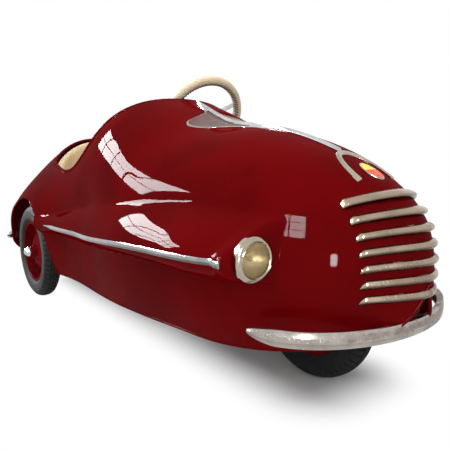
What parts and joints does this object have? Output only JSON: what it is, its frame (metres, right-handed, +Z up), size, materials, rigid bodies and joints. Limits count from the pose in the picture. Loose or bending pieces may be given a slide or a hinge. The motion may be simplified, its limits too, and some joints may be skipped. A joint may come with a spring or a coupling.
{
  "type": "ride-on pedal car",
  "caption": "Streamlined child ride-on car with a steered front wheel, bench seat, steering wheel on a slanted column and a chain drive to the rear axle",
  "frame": {"origin": "centre of the footprint on the ground under the tyres", "axes": "+Z up; the car faces -Y, and its right side is -X"},
  "size_m": [0.7094, 1.662, 0.729],
  "materials": {
    "body_paint": "gloss",
    "chrome": "polished",
    "bar_chrome": "pitted",
    "lamp_glass": "clear",
    "lamp_bowl": "satin",
    "badge_enamel": "gloss",
    "frame_steel": "satin",
    "floor_steel": "satin",
    "seat_leather": "satin",
    "grip_leather": "satin",
    "tyre_rubber": "matt",
    "wheel_paint": "gloss",
    "bright_steel": "satin",
    "chain_steel": "oily",
    "pedal_rubber": "matt"
  },
  "bodies": {
    "chassis": {"body_nose": "body_paint", "body_cowl": "body_paint", "body_side_right": "body_paint", "body_side_left": "body_paint", "body_tail": "body_paint", "cockpit_bead": "body_paint", "headlamp_bezel_right": "chrome", "headlamp_bezel_left": "chrome", "headlamp_lens_right": "lamp_glass", "headlamp_lens_left": "lamp_glass", "headlamp_reflector_right": "lamp_bowl", "headlamp_reflector_left": "lamp_bowl", "side_strip_right": "chrome", "side_strip_left": "chrome", "hood_ornament": "chrome", "horseshoe_trim": "chrome", "badge_plate": "badge_enamel", "grille_bar_1": "bar_chrome", "grille_bar_2": "bar_chrome", "grille_bar_3": "bar_chrome", "grille_bar_4": "bar_chrome", "grille_bar_5": "bar_chrome", "grille_bar_6": "bar_chrome", "grille_bar_7": "bar_chrome", "front_bumper": "bar_chrome", "front_irons": "frame_steel", "rear_bumper": "bar_chrome", "rear_irons": "frame_steel", "rail_right": "frame_steel", "rail_left": "frame_steel", "cross_front": "frame_steel", "cross_rear": "frame_steel", "neck": "frame_steel", "column_hoop": "frame_steel", "crank_bracket": "frame_steel", "floor_pan": "floor_steel", "axle_blocks": "frame_steel", "seat_cushion": "seat_leather", "seat_back": "seat_leather", "chain": "chain_steel"},
    "fork": {"fork": "frame_steel", "front_axle": "bright_steel"},
    "front_wheel": {"tyre_front": "tyre_rubber", "rim_front": "wheel_paint"},
    "rear_axle": {"tyre_right": "tyre_rubber", "rim_right": "wheel_paint", "hub_cap_right": "chrome", "hub_cap_left": "chrome", "rear_axle": "bright_steel", "rear_sprocket": "bright_steel"},
    "left_wheel": {"tyre_left": "tyre_rubber", "rim_left": "wheel_paint"},
    "column": {"steering_column": "bright_steel", "steering_grip": "grip_leather", "steering_spokes": "chrome"},
    "cross_link": {"cross_link": "bright_steel"},
    "crank": {"crank": "bright_steel", "chain_ring": "bright_steel"},
    "pedal_right": {"pedal_right": "pedal_rubber"},
    "pedal_left": {"pedal_left": "pedal_rubber"}
  },
  "joints": [
    {"name": "front_steer", "type": "hinge", "parent": "chassis", "child": "fork", "pos_m": [0, -0.42421, 0.45], "axis": [0, 0.342, 0.9397], "range_deg": [-25, 25]},
    {"name": "front_wheel_spin", "type": "hinge", "parent": "fork", "child": "front_wheel", "pos_m": [0, -0.558, 0.1585], "axis": [1, 0, 0], "continuous": true},
    {"name": "rear_axle_spin", "type": "hinge", "parent": "chassis", "child": "rear_axle", "pos_m": [0, 0.452, 0.1585], "axis": [1, 0, 0], "continuous": true},
    {"name": "left_wheel_spin", "type": "hinge", "parent": "rear_axle", "child": "left_wheel", "pos_m": [0.2935, 0.452, 0.1585], "axis": [1, 0, 0], "continuous": true},
    {"name": "column_turn", "type": "hinge", "parent": "chassis", "child": "column", "pos_m": [0.114, 0.03, 0.601], "axis": [0, 0.866, 0.5], "range_deg": [-34.5, 34.5]},
    {"name": "link_slide", "type": "slide", "parent": "chassis", "child": "cross_link", "axis": [-1, 0, 0], "range_m": [-0.0346, 0.0346]},
    {"name": "crank_spin", "type": "hinge", "parent": "chassis", "child": "crank", "pos_m": [0, -0.198, 0.19], "axis": [1, 0, 0], "continuous": true, "deforming": ["chain"]},
    {"name": "pedal_right_spin", "type": "hinge", "parent": "crank", "child": "pedal_right", "pos_m": [-0.11, -0.278, 0.19], "axis": [1, 0, 0], "continuous": true},
    {"name": "pedal_left_spin", "type": "hinge", "parent": "crank", "child": "pedal_left", "pos_m": [0.11, -0.118, 0.19], "axis": [1, 0, 0], "continuous": true}
  ],
  "couplings": [
    {"joint": "column_turn", "follows": "front_steer", "ratio": 1.3699},
    {"joint": "link_slide", "follows": "front_steer", "m_per_rad": 0.0789},
    {"joint": "crank_spin", "follows": "rear_axle_spin", "ratio": 0.63636}
  ]
}
